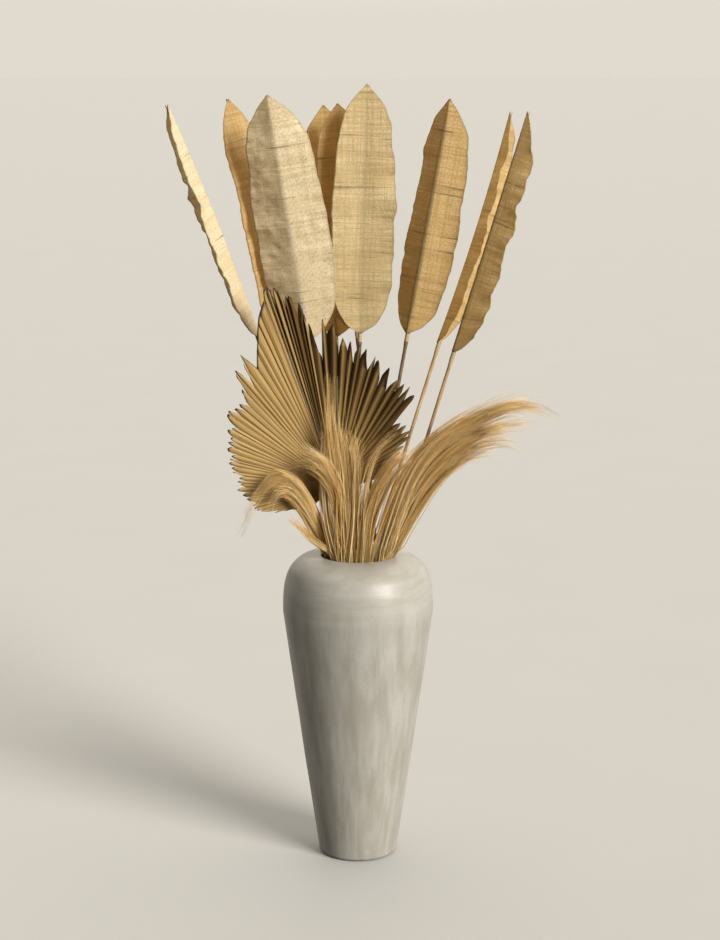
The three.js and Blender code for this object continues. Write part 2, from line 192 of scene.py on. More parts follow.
# Grass tufts: foot and top of the stems in the vase, radius of their bundle, numbers of locks and of
# clumps in a lock, spread of a lock, and the curves along which the locks lie
STRAND_SIDES = 3
STRAND_POINTS = 16
STRAND_DEPTH = 45
STRANDS_IN_CLUMP = 4
CLUMP_SPREAD = 1.1
LOCK_PULL = 0.75
STEMS_IN_VASE = 40
STEMS_RADIUS = 4
STEM_RADIUS = 0.8
STEM_TINT = 0.3
LOOSE_SHARE = 0.2
LOOSE_STRAY = 2.2
LOOSE_THICKNESS = 0.6
CLUMP_STRAY = 0.6
CLUMP_BEND = 0.8
CLUMP_CROSSING = 0.5
CROSSINGS = (0.6, 1.6)
CLUMP_LENGTHS = (0.8, 1.0)
LOCK_LENGTHS = (0.75, 1.0)
STRAND_RADII = (0.25, 0.6)
STRAND_TAPER = 0.85
STRAND_TINTS = 0.08
TUFTS = {
    "grass_right": {
        "foot": (47, -21, 17), "top": (45, -28, 606), "bundle": 17, "locks": 84, "clumps": 7, "spread": 6.5,
        "guides": [
            [
                (40, -41, 598), (58, -62, 673), (91, -88, 774),
                (151, -102, 846), (223, -108, 893), (326, -110, 938),
            ],
            [
                (44, -38, 598), (70, -65, 699), (115, -88, 802),
                (187, -100, 857), (269, -106, 895), (342, -109, 912),
            ],
            [
                (48, -35, 598), (81, -62, 702), (130, -86, 802),
                (206, -99, 862), (305, -106, 901), (390, -108, 853),
            ],
            [
                (52, -31, 598), (93, -58, 692), (148, -82, 788),
                (215, -97, 843), (270, -104, 861), (333, -107, 867),
            ],
            [
                (55, -26, 598), (101, -55, 691), (154, -80, 774),
                (207, -94, 815), (261, -102, 831), (312, -105, 820),
            ],
            [
                (57, -22, 598), (102, -52, 689), (145, -74, 754),
                (179, -88, 783), (216, -96, 798), (247, -100, 791),
            ],
        ],
    },
    "grass_centre": {
        "foot": (-11, -27, 17), "top": (-20, -48, 606), "bundle": 15, "locks": 64, "clumps": 7, "spread": 6,
        "guides": [
            [
                (-30, -46, 598), (-36, -74, 686), (-48, -96, 742),
                (-73, -114, 781), (-98, -124, 792), (-127, -132, 779),
            ],
            [
                (-28, -46, 598), (-33, -74, 686), (-40, -96, 747),
                (-66, -114, 794), (-100, -126, 815), (-156, -132, 838),
            ],
            [(-32, -47, 598), (-50, -70, 675), (-57, -92, 756), (-51, -110, 834), (-49, -122, 901)],
            [
                (-26, -48, 598), (-31, -74, 686), (-33, -96, 766),
                (-42, -114, 844), (-47, -124, 902), (-45, -132, 1000),
            ],
            [(-20, -50, 598), (-20, -76, 696), (-22, -98, 776), (-27, -112, 835), (-36, -122, 888)],
            [(-14, -51, 598), (-9, -76, 696), (-9, -98, 776), (-12, -110, 825), (-22, -118, 864)],
            [(-11, -51, 598), (-4, -74, 686), (-4, -94, 756), (2, -108, 806), (15, -116, 843)],
        ],
    },
    "grass_left": {
        "foot": (-37, -23, 17), "top": (-50, -20, 606), "bundle": 11, "locks": 36, "clumps": 6, "spread": 4.5,
        "guides": [
            [
                (-52, -24, 598), (-73, -54, 662), (-96, -86, 723),
                (-125, -108, 765), (-159, -122, 775), (-188, -132, 716),
            ],
            [
                (-53, -24, 598), (-75, -53, 660), (-98, -84, 716),
                (-129, -106, 757), (-176, -126, 748), (-231, -136, 643),
            ],
            [
                (-54, -23, 598), (-79, -51, 654), (-102, -80, 706),
                (-129, -102, 743), (-158, -118, 746), (-176, -128, 703),
            ],
            [
                (-55, -22, 598), (-81, -50, 650), (-104, -77, 698),
                (-127, -98, 729), (-149, -112, 730), (-163, -122, 683),
            ],
        ],
    },
    "grass_wisps": {
        "foot": (-25, -44, 17), "top": (-44, -40, 606), "bundle": 5, "locks": 6, "clumps": 5, "spread": 2.5,
        "guides": [
            [(-46, -41, 598), (-90, -72, 648), (-117, -94, 682), (-151, -108, 709)],
            [(-46, -41, 598), (-88, -74, 642), (-109, -94, 667), (-137, -106, 690)],
        ],
    },
    "grass_inner": {
        "foot": (4, -40, 17), "top": (10, -53, 606), "bundle": 8, "locks": 30, "clumps": 6, "spread": 4,
        "guides": [
            [
                (6, -55, 598), (6, -78, 677), (12, -102, 748),
                (26, -120, 806), (51, -130, 843), (91, -134, 868),
            ],
            [
                (10, -55, 598), (16, -76, 676), (30, -96, 733),
                (52, -110, 778), (77, -120, 808), (108, -125, 825),
            ],
            [
                (14, -54, 598), (27, -74, 675), (45, -90, 726),
                (64, -103, 768), (85, -112, 795), (107, -118, 815),
            ],
        ],
    },
}


# Shared ways to make shapes

def smooth_line(points, x):
    """Values at x of a smooth line through points of (x, value)."""
    xs, ys = np.array(points, float).T
    slopes = np.gradient(ys, xs, edge_order=1)
    slopes[1:-1] = (ys[2:] - ys[:-2]) / (xs[2:] - xs[:-2])
    k = np.clip(np.searchsorted(xs, x, side="left") - 1, 0, len(xs) - 2)
    span = xs[k + 1] - xs[k]
    s = (x - xs[k]) / span
    rise = ys[k + 1] - ys[k]
    start = slopes[k] * span - rise
    end = rise - slopes[k + 1] * span
    return ys[k] + rise * s + s * (1 - s) * (start * (1 - s) + end * s)


def smooth_curve(points, t):
    """Points at shares t of a smooth curve through points that are evenly shared along it."""
    steps = np.linspace(0, 1, len(points))
    return np.stack([smooth_line(list(zip(steps, axis)), t) for axis in zip(*points)], axis=-1)


def unit(vectors):
    return vectors / np.linalg.norm(vectors, axis=-1, keepdims=True)


def lumps(points, scale):
    """Smooth noise of about -1 to 1 at each point, with lumps of about scale."""
    flat = points.reshape(-1, 3) / scale
    return np.array([noise.noise(Vector(p)) for p in flat]).reshape(points.shape[:-1])


def make_piece(name, points, faces, layers, materials, nodes, face_materials=None):
    """A mesh piece in metres from points in millimetres, with UV layers of one pair for each point."""
    mesh = bpy.data.meshes.new(name)
    mesh.from_pydata(points * MM, [], faces)
    corners = np.empty(len(mesh.loops), np.int32)
    mesh.loops.foreach_get("vertex_index", corners)
    for layer, pairs in layers.items():
        mesh.uv_layers.new(name=layer).data.foreach_set("uv", pairs[corners].astype(np.float32).ravel())
    for material in materials:
        mesh.materials.append(material)
    if face_materials is not None:
        mesh.polygons.foreach_set("material_index", face_materials.astype(np.int32))
    mesh.polygons.foreach_set("use_smooth", np.ones(len(mesh.polygons), bool))
    mesh.update()
    piece = bpy.data.objects.new(name, mesh)
    bpy.context.scene.collection.objects.link(piece)
    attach(piece, "root")
    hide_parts(*nodes)
    return piece


def sheet_faces(columns, rows):
    """Faces of a closed sheet whose front grid of points comes first and its back grid after it."""
    layer = (columns + 1) * (rows + 1)
    i, j = np.meshgrid(np.arange(columns), np.arange(rows), indexing="xy")
    low = (j * (columns + 1) + i).ravel()
    high = low + columns + 1
    front = np.stack([low, low + 1, high + 1, high], axis=1)
    back = front[:, ::-1] + layer
    bottom = np.arange(columns + 1)
    right = np.arange(rows + 1) * (columns + 1) + columns
    top = (rows + 1) * (columns + 1) - 1 - bottom
    left = right[::-1] - columns
    rim = np.concatenate([bottom[:-1], right[:-1], top[:-1], left[:-1]])
    after = np.roll(rim, -1)
    sides = np.stack([rim, rim + layer, after + layer, after], axis=1)
    return np.concatenate([front, back, sides])


def tube_points(paths, radii, sides):
    """Rings of points round each path: paths is (tubes, rings, 3) and radii is (tubes, rings)."""
    tangent = unit(np.gradient(paths, axis=1))
    reference = np.where(np.abs(tangent[..., :1]) > 0.9, [[[0.0, 1.0, 0.0]]], [[[1.0, 0.0, 0.0]]])
    normal = unit(reference - tangent * (reference * tangent).sum(-1, keepdims=True))
    other = np.cross(tangent, normal)
    angle = 2 * math.pi * np.arange(sides) / sides
    ring = normal[:, :, None] * np.cos(angle)[:, None] + other[:, :, None] * np.sin(angle)[:, None]
    return paths[:, :, None] + ring * radii[:, :, None, None]


def tube_faces(tubes, rings, sides):
    """Faces of closed tubes whose points come tube by tube and ring by ring."""
    tube, ring, side = np.meshgrid(np.arange(tubes), np.arange(rings - 1), np.arange(sides), indexing="ij")
    start = (tube * rings + ring) * sides
    after = (side + 1) % sides
    walls = np.stack([start + side, start + after, start + sides + after, start + sides + side], axis=-1)
    first = np.arange(tubes)[:, None] * rings * sides
    foot = first + np.arange(sides)[::-1]
    head = first + (rings - 1) * sides + np.arange(sides)
    return walls.reshape(-1, 4).tolist() + foot.tolist() + head.tolist()


# Shared ways to make materials

class Surface:
    """Short ways to add nodes to one material."""

    def __init__(self, name):
        self.material = bpy.data.materials.new(name)
        self.material.use_nodes = True
        self.tree = self.material.node_tree
        self.tree.nodes.clear()
        self.output = self.node("ShaderNodeOutputMaterial")

    def node(self, kind, **settings):
        made = self.tree.nodes.new(kind)
        for key, value in settings.items():
            setattr(made, key, value)
        return made

    def feed(self, socket, value):
        if isinstance(value, bpy.types.NodeSocket):
            self.tree.links.new(value, socket)
        elif hasattr(value, "__len__") and len(value) == 3 and socket.type == "RGBA":
            socket.default_value = (*value, 1)
        else:
            socket.default_value = value

    def math(self, operation, *values, clamp=False):
        made = self.node("ShaderNodeMath", operation=operation, use_clamp=clamp)
        for socket, value in zip(made.inputs, values):
            self.feed(socket, value)
        return made.outputs[0]

    def uv(self, layer):
        made = self.node("ShaderNodeUVMap", uv_map=layer)
        split = self.node("ShaderNodeSeparateXYZ")
        self.feed(split.inputs[0], made.outputs[0])
        return split.outputs[0], split.outputs[1]

    def place(self):
        split = self.node("ShaderNodeSeparateXYZ")
        self.feed(split.inputs[0], self.node("ShaderNodeTexCoord").outputs["Object"])
        return split.outputs[:3]

    def spread(self, *values):
        made = self.node("ShaderNodeCombineXYZ")
        for socket, value in zip(made.inputs, values):
            self.feed(socket, value)
        return made.outputs[0]

    def noise(self, vector, scale, detail=2.0, roughness=0.5, distortion=0.0):
        made = self.node("ShaderNodeTexNoise")
        for name, value in zip(
            ("Vector", "Scale", "Detail", "Roughness", "Distortion"),
            (vector, scale, detail, roughness, distortion),
        ):
            self.feed(made.inputs[name], value)
        return made.outputs[0]

    def between(self, value, low, high, start=0.0, end=1.0):
        """start where value is low, end where it is high, and smooth between."""
        made = self.node("ShaderNodeMapRange", interpolation_type="SMOOTHSTEP")
        for socket, number in zip(made.inputs, (value, low, high, start, end)):
            self.feed(socket, number)
        return made.outputs[0]

    def mix(self, share, first, second, blend="MIX"):
        made = self.node("ShaderNodeMix", data_type="RGBA", blend_type=blend)
        for place, value in ((0, share), (6, first), (7, second)):
            self.feed(made.inputs[place], value)
        return made.outputs[2]

    def bump(self, height, distance, strength=1.0):
        made = self.node("ShaderNodeBump")
        self.feed(made.inputs["Height"], height)
        self.feed(made.inputs["Distance"], distance)
        self.feed(made.inputs["Strength"], strength)
        return made.outputs[0]

    def principled(self, colour, roughness, normal=None, **constants):
        made = self.node("ShaderNodeBsdfPrincipled")
        self.feed(made.inputs["Base Color"], colour)
        self.feed(made.inputs["Roughness"], roughness)
        if normal is not None:
            self.feed(made.inputs["Normal"], normal)
        for name, value in constants.items():
            self.feed(made.inputs[name.replace("_", " ")], value)
        return made.outputs[0]

    def glow(self, shader, share, colour, normal=None):
        """shader with a share of it turned to light that passes through from behind."""
        through = self.node("ShaderNodeBsdfTranslucent")
        self.feed(through.inputs["Color"], colour)
        if normal is not None:
            self.feed(through.inputs["Normal"], normal)
        made = self.node("ShaderNodeMixShader")
        for socket, value in zip(made.inputs, (share, shader, through.outputs[0])):
            self.feed(socket, value)
        return made.outputs[0]

    def done(self, shader):
        self.feed(self.output.inputs["Surface"], shader)
        return self.material


class Room(Surface):
    """The same short ways for the nodes of a world."""

    def __init__(self, name):
        self.world = bpy.data.worlds.new(name)
        self.world.use_nodes = True
        self.tree = self.world.node_tree


def limewash():
    """Grey-beige limewash brushed upright on the body and round on the shoulder."""
    s = Surface("limewashed_ceramic")
    x, y, z = s.place()
    turn = s.math("ARCTAN2", y, x)
    east = s.math("COSINE", turn)
    north = s.math("SINE", turn)
    upright = s.spread(east, north, s.math("MULTIPLY", z, 1.6))
    slow_east = s.math("MULTIPLY", east, 0.35)
    slow_north = s.math("MULTIPLY", north, 0.35)
    level = s.spread(slow_east, slow_north, s.math("MULTIPLY", z, 14.0))
    on_shoulder = s.between(z, 0.46, 0.55)
    brushed = s.noise(upright, 5.0, 5.0, 0.6, 0.3)
    ringed = s.noise(level, 2.4, 5.0, 0.6, 0.2)
    strokes = s.mix(on_shoulder, brushed, ringed)
    cloud = s.noise(s.spread(x, y, s.math("MULTIPLY", z, 0.6)), 10.0, 4.0, 0.6, 0.5)
    grain = s.noise(s.spread(x, y, z), 240.0, 3.0, 0.6)
    wash = s.mix(s.between(strokes, 0.28, 0.72), (0.25, 0.235, 0.20), (0.345, 0.335, 0.305))
    wash = s.mix(s.between(cloud, 0.45, 0.75, 0.0, 0.4), wash, (0.21, 0.19, 0.15))
    wash = s.mix(s.between(grain, 0.48, 0.72, 0.0, 0.14), wash, (0.17, 0.155, 0.12))
    rough = s.between(strokes, 0.3, 0.7, 0.5, 0.4)
    relief = s.math("ADD", s.math("MULTIPLY", strokes, 0.5), s.math("MULTIPLY", grain, 0.2))
    return s.done(s.principled(wash, rough, s.bump(relief, 0.0012, 0.5)))


def woven(name, light, dark, through, share, rib, speckle_shade):
    """Open plain weave of dry fibre, with uneven threads, dark slubs and a stiff hem; painted shade darkens
    it towards the foot and in small specks, and a painted shadow of the stick runs along the rib.
    """
    s = Surface("woven_fibre_" + name)
    u, v = s.uv("cloth")
    across, along = s.uv("blade")
    flat = s.spread(u, v, 0.0)

    def streaks(by_u, by_v, apart):
        place = s.spread(s.math("MULTIPLY", u, by_u), s.math("MULTIPLY", v, by_v), apart)
        return s.noise(place, 1.0, 3.0, 0.6, 0.2)

    pitch = 2 * math.pi / WEAVE_PITCH
    shift = s.math("MULTIPLY", s.noise(flat, 70.0, 3.0), 1.6 * WEAVE_PITCH)
    warp = s.math("SINE", s.math("MULTIPLY", s.math("ADD", u, shift), pitch))
    weft = s.math("SINE", s.math("MULTIPLY", s.math("ADD", v, shift), pitch))
    thread = s.math("MULTIPLY", s.math("ADD", s.math("ADD", warp, weft), 2.0), 0.25)
    grain = s.noise(flat, 400.0, 3.0, 0.7)
    fade = s.between(s.noise(flat, 24.0, 3.0, 0.6), 0.38, 0.62, 0.25, 1.0)
    bands = streaks(1.5, 48.0, 0.0)
    rows = streaks(5.0, 240.0, 2.0)
    columns = streaks(250.0, 4.0, 3.0)
    slubs = s.math("MULTIPLY", s.between(streaks(2.6, 150.0, 11.0), 0.61, 0.66), fade)
    colour = s.mix(s.between(grain, 0.25, 0.6), dark, light)
    colour = s.mix(s.between(thread, 0.1, 0.6, 0.25, 0.0), colour, dark)
    colour = s.mix(s.between(bands, 0.42, 0.66, 0.0, 0.5), colour, dark)
    colour = s.mix(s.between(rows, 0.5, 0.6, 0.0, 0.65), colour, dark)
    colour = s.mix(s.between(columns, 0.5, 0.6, 0.0, 0.5), colour, dark)
    # painted shade: the cloth darker towards the foot of the blade
    colour = s.mix(s.between(along, 0.0, 0.6, 0.35, 0.0), colour, dark)
    # the dark colour of the slubs, also used below for painted shade and a painted shadow
    slub_and_shadow = tuple(0.4 * c for c in dark)
    colour = s.mix(s.math("MULTIPLY", slubs, 0.8), colour, slub_and_shadow)
    # painted shade: small dark specks for the shadows of the bumpy grain
    colour = s.mix(s.between(s.noise(flat, 260.0, 2.0), 0.6, 0.68, 0.0, speckle_shade), colour, slub_and_shadow)
    edge = s.math("ABSOLUTE", s.math("SUBTRACT", s.math("MULTIPLY", across, 2.0), 1.0))
    # painted shadow: a dark band along the rib for the stick's shadow seen through the cloth
    colour = s.mix(s.between(edge, 0.04, 0.13, rib, 0.0), colour, slub_and_shadow)
    colour = s.mix(s.between(edge, 0.94, 0.98, 0.0, 0.5), colour, slub_and_shadow)
    ends = s.math("ADD", s.between(along, 0.98, 1.0), s.between(along, 0.03, 0.0, 0.0, 0.5), clamp=True)
    colour = s.mix(s.math("MULTIPLY", ends, 0.7), colour, slub_and_shadow)
    creases = s.noise(flat, 95.0, 4.0, 0.65, 0.4)
    relief = s.math("ADD", thread, s.math("ADD", s.math("MULTIPLY", grain, 0.9), rows))
    relief = s.math("ADD", relief, s.math("MULTIPLY", creases, 0.8))
    normal = s.bump(relief, 0.001, 0.8)
    body = s.principled(colour, 0.82, normal, Specular_IOR_Level=0.2)
    return s.done(s.glow(body, share, s.mix(0.5, colour, through), normal))


def bark(name, light, dark):
    """Dry stick with long streaks and small pores."""
    s = Surface("stick_wood_" + name)
    u, v = s.uv("stick")
    streak = s.noise(s.spread(s.math("MULTIPLY", u, 5.0), s.math("MULTIPLY", v, 26.0), 0.0), 1.0, 4.0, 0.65)
    pores = s.noise(s.spread(s.math("MULTIPLY", u, 9.0), s.math("MULTIPLY", v, 320.0), 2.0), 1.0, 2.0)
    colour = s.mix(s.between(streak, 0.32, 0.68), dark, light)
    colour = s.mix(s.between(pores, 0.55, 0.75, 0.0, 0.55), colour, tuple(0.4 * c for c in dark))
    relief = s.math("ADD", streak, s.math("MULTIPLY", pores, 0.4))
    return s.done(s.principled(colour, 0.7, s.bump(relief, 0.0008, 0.6)))


def tape():
    """Pale paper tape wound round the stick under a blade."""
    s = Surface("paper_tape")
    u, v = s.uv("stick")
    turns = s.math("FRACT", s.math("ADD", s.math("MULTIPLY", v, 190.0), u))
    fibres = s.noise(s.spread(s.math("MULTIPLY", u, 8.0), s.math("MULTIPLY", v, 500.0), 0.0), 1.0, 3.0)
    colour = s.mix(s.between(turns, 0.0, 0.25), (0.16, 0.11, 0.06), (0.40, 0.30, 0.18))
    colour = s.mix(s.between(fibres, 0.4, 0.7, 0.0, 0.4), colour, (0.26, 0.18, 0.10))
    return s.done(s.principled(colour, 0.8, s.bump(turns, 0.0005, 0.6)))


def palm():
    """Dry palm with fibres along its leaflets and dark cut tips, and painted shade in its creases, over its
    right half (partly the right half's own darker stain), in the band of tight pleats by the fold, where the
    lower right lobe folds back and low on the left by the hub.
    """
    s = Surface("dried_palm")
    u, v = s.uv("leaflet")
    angle, _ = s.uv("fan")
    tint = s.node("ShaderNodeTexWhiteNoise", noise_dimensions="1D")
    s.feed(tint.inputs["W"], s.math("FLOOR", u))
    own = tint.outputs[0]
    ridge = s.math("ABSOLUTE", s.math("SUBTRACT", s.math("FRACT", u), 0.5))
    fibre = s.noise(s.spread(s.math("MULTIPLY", u, 11.0), s.math("MULTIPLY", v, 2.0), 0.0), 1.0, 4.0, 0.7)
    blotch = s.noise(s.spread(s.math("MULTIPLY", u, 0.9), s.math("MULTIPLY", v, 3.0), 4.0), 1.0, 3.0, 0.6)

    def around(start, end, soft):
        """1 between two angles and 0 outside them, softened at both."""
        rise = s.between(angle, start - soft, start + soft)
        return s.math("MULTIPLY", rise, s.between(angle, end - soft, end + soft, 1.0, 0.0))

    colour = s.mix(s.between(fibre, 0.32, 0.68), (0.24, 0.145, 0.04), (0.46, 0.305, 0.115))
    colour = s.mix(s.math("MULTIPLY", own, 0.5), colour, (0.37, 0.25, 0.10))
    colour = s.mix(s.between(blotch, 0.5, 0.76, 0.0, 0.45), colour, (0.21, 0.12, 0.035))
    fine = s.noise(s.spread(s.math("MULTIPLY", angle, 0.9), s.math("MULTIPLY", v, 0.7), 7.0), 1.0, 3.0, 0.6)
    colour = s.mix(s.between(fine, 0.58, 0.68, 0.0, 0.6), colour, (0.085, 0.045, 0.013))
    # painted shade: dark lines in the creases between leaflets, weaker on the left lobe
    crease_shade = s.math("MULTIPLY", s.between(ridge, 0.40, 0.5), s.between(own, 0.1, 0.9, 0.1, 0.95))
    crease_shade = s.math("MULTIPLY", crease_shade, s.between(angle, 100.0, 112.0, 1.0, 0.4))
    colour = s.mix(crease_shade, colour, (0.085, 0.045, 0.013))
    # the right half darker, deeper towards the rim and in the valleys and lighter on the lower lobe: painted
    # shade, partly the half's own darker stain
    lower_lobe = s.between(angle, 42.0, 50.0, 0.4, 1.0)
    right_half = s.math("MULTIPLY", s.between(angle, 95.0, 99.0, 1.0, 0.0), lower_lobe)
    outer = s.between(v, 0.3, 0.85, 0.25, 1.0)
    valley = s.between(ridge, 0.05, 0.3, 0.45, 1.0)
    stain_and_shade = s.math("MULTIPLY", s.math("MULTIPLY", right_half, outer), valley)
    # painted shade: dark streaks on the tight pleats of the band by the fold
    streaks = s.math("MULTIPLY", around(*PALM_SHADED_BAND, 1.5), s.between(own, 0.35, 0.6, 0.95, 0.15))
    # painted shadow where the lower right lobe folds back
    fold_shadow = s.math("MULTIPLY", around(*PALM_SHADED_FOLD, 3.0), s.between(v, 0.4, 0.6))
    stain_and_shade = s.math("MAXIMUM", stain_and_shade, s.math("MAXIMUM", streaks, fold_shadow))
    colour = s.mix(s.math("MULTIPLY", stain_and_shade, 0.92), colour, (0.068, 0.032, 0.006))
    # painted shade low on the left, near the hub, where the leaflets droop
    under = s.math("MULTIPLY", s.between(angle, 160.0, 215.0), s.between(v, 0.2, 0.7, 0.8, 0.2))
    colour = s.mix(under, colour, (0.13, 0.075, 0.025))
    ragged = s.math("ADD", v, s.math("MULTIPLY", s.math("SUBTRACT", fibre, 0.5), 0.05))
    colour = s.mix(s.between(ragged, 0.975, 0.995, 0.0, 0.9), colour, (0.018, 0.01, 0.005))
    normal = s.bump(fibre, 0.0008, 0.7)
    body = s.principled(colour, 0.55, normal, Specular_IOR_Level=0.3)
    return s.done(s.glow(body, 0.15, s.mix(1.0, colour, (1.0, 0.75, 0.4), "MULTIPLY"), normal))


def straw():
    """Golden straw whose strands run from dark ochre to pale, darker towards the foot."""
    s = Surface("dried_grass")
    tint, along = s.uv("strand")
    gold = s.mix(s.between(tint, 0.0, 0.45), (0.55, 0.34, 0.085), (0.92, 0.70, 0.29))
    gold = s.mix(s.between(tint, 0.5, 1.0), gold, (0.98, 0.87, 0.58))
    colour = s.mix(s.between(along, 0.05, 0.38, 0.6, 0.0), gold, (0.38, 0.23, 0.055))
    body = s.principled(colour, 0.4, None, Specular_IOR_Level=0.45)
    return s.done(s.glow(body, 0.4, s.mix(1.0, colour, (1.0, 0.9, 0.62), "MULTIPLY")))


# Vase

def body_radius(height):
    share = (height - FOOT_ROUND) / (WIDEST_HEIGHT - FOOT_ROUND)
    return FOOT_RADIUS + (WIDEST_RADIUS - FOOT_RADIUS) * share + BODY_BULGE * np.sin(np.pi * share)


def arc(centre, radius, start, end, steps):
    angle = np.radians(np.linspace(start, end, steps))
    return np.stack([centre[0] + radius * np.cos(angle), centre[1] + radius * np.sin(angle)], axis=1)


def shoulder(inset, start, end, steps):
    angle = np.radians(np.linspace(start, end, steps))
    reach = WIDEST_RADIUS - inset - SHOULDER_CENTRE_RADIUS
    rise = VASE_HEIGHT - inset - WIDEST_HEIGHT
    power = 2 / SHOULDER_POWER
    radius = SHOULDER_CENTRE_RADIUS + reach * np.cos(angle) ** power
    return np.stack([radius, WIDEST_HEIGHT + rise * np.sin(angle) ** power], axis=1)


def vase():
    outside = np.linspace(FOOT_ROUND, WIDEST_HEIGHT, BODY_RINGS)[1:]
    inside = np.linspace(WIDEST_HEIGHT, VASE_WALL, INSIDE_RINGS)
    profile = np.concatenate([
        [(0.5, 0)],
        arc((FOOT_RADIUS - FOOT_ROUND, FOOT_ROUND), FOOT_ROUND, -90, 0, FOOT_RINGS),
        np.stack([body_radius(outside), outside], axis=1),
        shoulder(0, 1, SHOULDER_END, SHOULDER_RINGS),
        arc((MOUTH_RADIUS + LIP_ROUND, VASE_HEIGHT - LIP_ROUND), LIP_ROUND, 90, 180, LIP_RINGS),
        shoulder(VASE_WALL, INNER_SHOULDER_END, 1, INNER_SHOULDER_RINGS),
        np.stack([body_radius(inside) - VASE_WALL, inside], axis=1),
        [(0.5, VASE_WALL)],
    ])
    turn = 2 * np.pi * np.arange(VASE_SEGMENTS) / VASE_SEGMENTS
    radius, height = profile[:, 0][:, None], profile[:, 1][:, None]
    points = np.stack([radius * np.cos(turn), radius * np.sin(turn), height + 0 * turn], axis=-1)
    outward = np.stack([np.cos(turn), np.sin(turn), 0 * turn], axis=-1)
    clear_of_floor = np.clip((height - FOOT_ROUND) / HAND_MADE_FADE, 0, 1)
    uneven = HAND_MADE * lumps(points * (1, 1, 0.7), HAND_MADE_SIZE) * clear_of_floor
    points = points + outward * uneven[..., None]
    faces = tube_faces(1, len(profile), VASE_SEGMENTS)
    make_piece(
        "limewashed_vase", points.reshape(-1, 3), faces, {}, [limewash()], ["vase"],
    )


# Woven leaves

def leaf_frame(leaf):
    """Directions out of the blade's face and to its right, and a function for the rib's points at t."""
    foot, tip = np.array(leaf["foot"], float), np.array(leaf["tip"], float)
    along = unit(tip - foot)
    turn = math.radians(leaf["turn"])
    face = np.array([math.sin(turn), -math.cos(turn), 0.0])
    face = unit(face - along * face.dot(along))
    right = np.cross(along, face)

    def rib_at(t):
        t = np.asarray(t, float)[..., None]
        return tip - along * leaf["length"] * (1 - t) + face * leaf["bow"] * np.sin(np.pi * t)

    return face, right, rib_at


def edge_waves(number, along_mm, side):
    """Uneven waves of about -1 to 1 along one edge of a blade."""
    column = np.full_like(along_mm, 90.0 * side)
    place = np.stack([column, along_mm, np.full_like(along_mm, 210.0 * number)], axis=-1)
    return 1.5 * lumps(place, LONG_WAVE) + 0.8 * lumps(place + 31, SHORT_WAVE)


def blade(number, leaf, cloths):
    face, right, rib_at = leaf_frame(leaf)
    fold = math.radians(leaf["fold"])
    rows = np.linspace(0, 1, BLADE_ROWS + 1)
    across, t = np.meshgrid(np.linspace(-1, 1, BLADE_COLUMNS + 1), rows)
    width = leaf["half"] * smooth_line(BLADE_OUTLINE, leaf["cut"] + (1 - leaf["cut"]) * t)
    flat = np.stack([across * width, t * leaf["length"], np.full_like(t, 200.0 * number)], axis=-1)

    def wavy(kind):
        left, right_side = (
            waves * edge_waves(number, rows * leaf["length"], side)[:, None]
            for waves, side in zip(leaf["waves"], (kind, kind + 1))
        )
        return np.where(across < 0, left, right_side)

    edge = across ** 2
    half = width * (1 + SCALLOP_SHARE * edge * wavy(1))
    middle = np.sqrt(np.sin(np.pi * t))
    ripple = RIPPLE_HEIGHT * edge * middle * wavy(3)
    off_rib = np.clip(np.abs(across) / SMOOTH_BY_RIB, 0.1, 1)
    dents = DENT_DEPTH * lumps(flat, DENT_SIZE) + CRINKLE_DEPTH * lumps(flat, CRINKLE_SIZE)
    crumple = leaf["crumple"] * dents * middle * off_rib
    pucker_phase = flat[..., 1] / PUCKER_LENGTH + 4 * lumps(flat, PUCKER_DRIFT)
    pucker = PUCKER_HEIGHT * edge * middle * np.sin(pucker_phase)
    lift = np.sqrt(edge + 0.002) * half * math.sin(fold) + ripple + crumple + pucker
    blunt = leaf["cut"] * edge * (1 - t) ** 8
    middle_points = rib_at(t + blunt) + right * (across * half * math.cos(fold))[..., None]
    offset = leaf["side"] * STICK_OFFSET / math.cos(fold)
    hemmed = np.where(np.abs(across) > 1 - HEM_SHARE, HEM_THICKNESS, BLADE_THICKNESS)
    thick = hemmed * np.minimum(1, 12 * (1 - t) + 0.3)
    grids = [middle_points + face * (offset + lift + side * thick / 2)[..., None] for side in (1, -1)]
    points = np.concatenate([grid.reshape(-1, 3) for grid in grids])
    apart = 0.37 * number
    cloth = np.stack([across * width * MM + apart, t * leaf["length"] * MM + apart], axis=-1).reshape(-1, 2)
    place = np.stack([(across + 1) / 2, t], axis=-1).reshape(-1, 2)
    layers = {"cloth": np.tile(cloth, (2, 1)), "blade": np.tile(place, (2, 1))}
    piece = make_piece(
        f"woven_blade_{number}", points, sheet_faces(BLADE_COLUMNS, BLADE_ROWS).tolist(), layers,
        [cloths[leaf["cloth"]]], [f"woven_leaf_{number}"],
    )


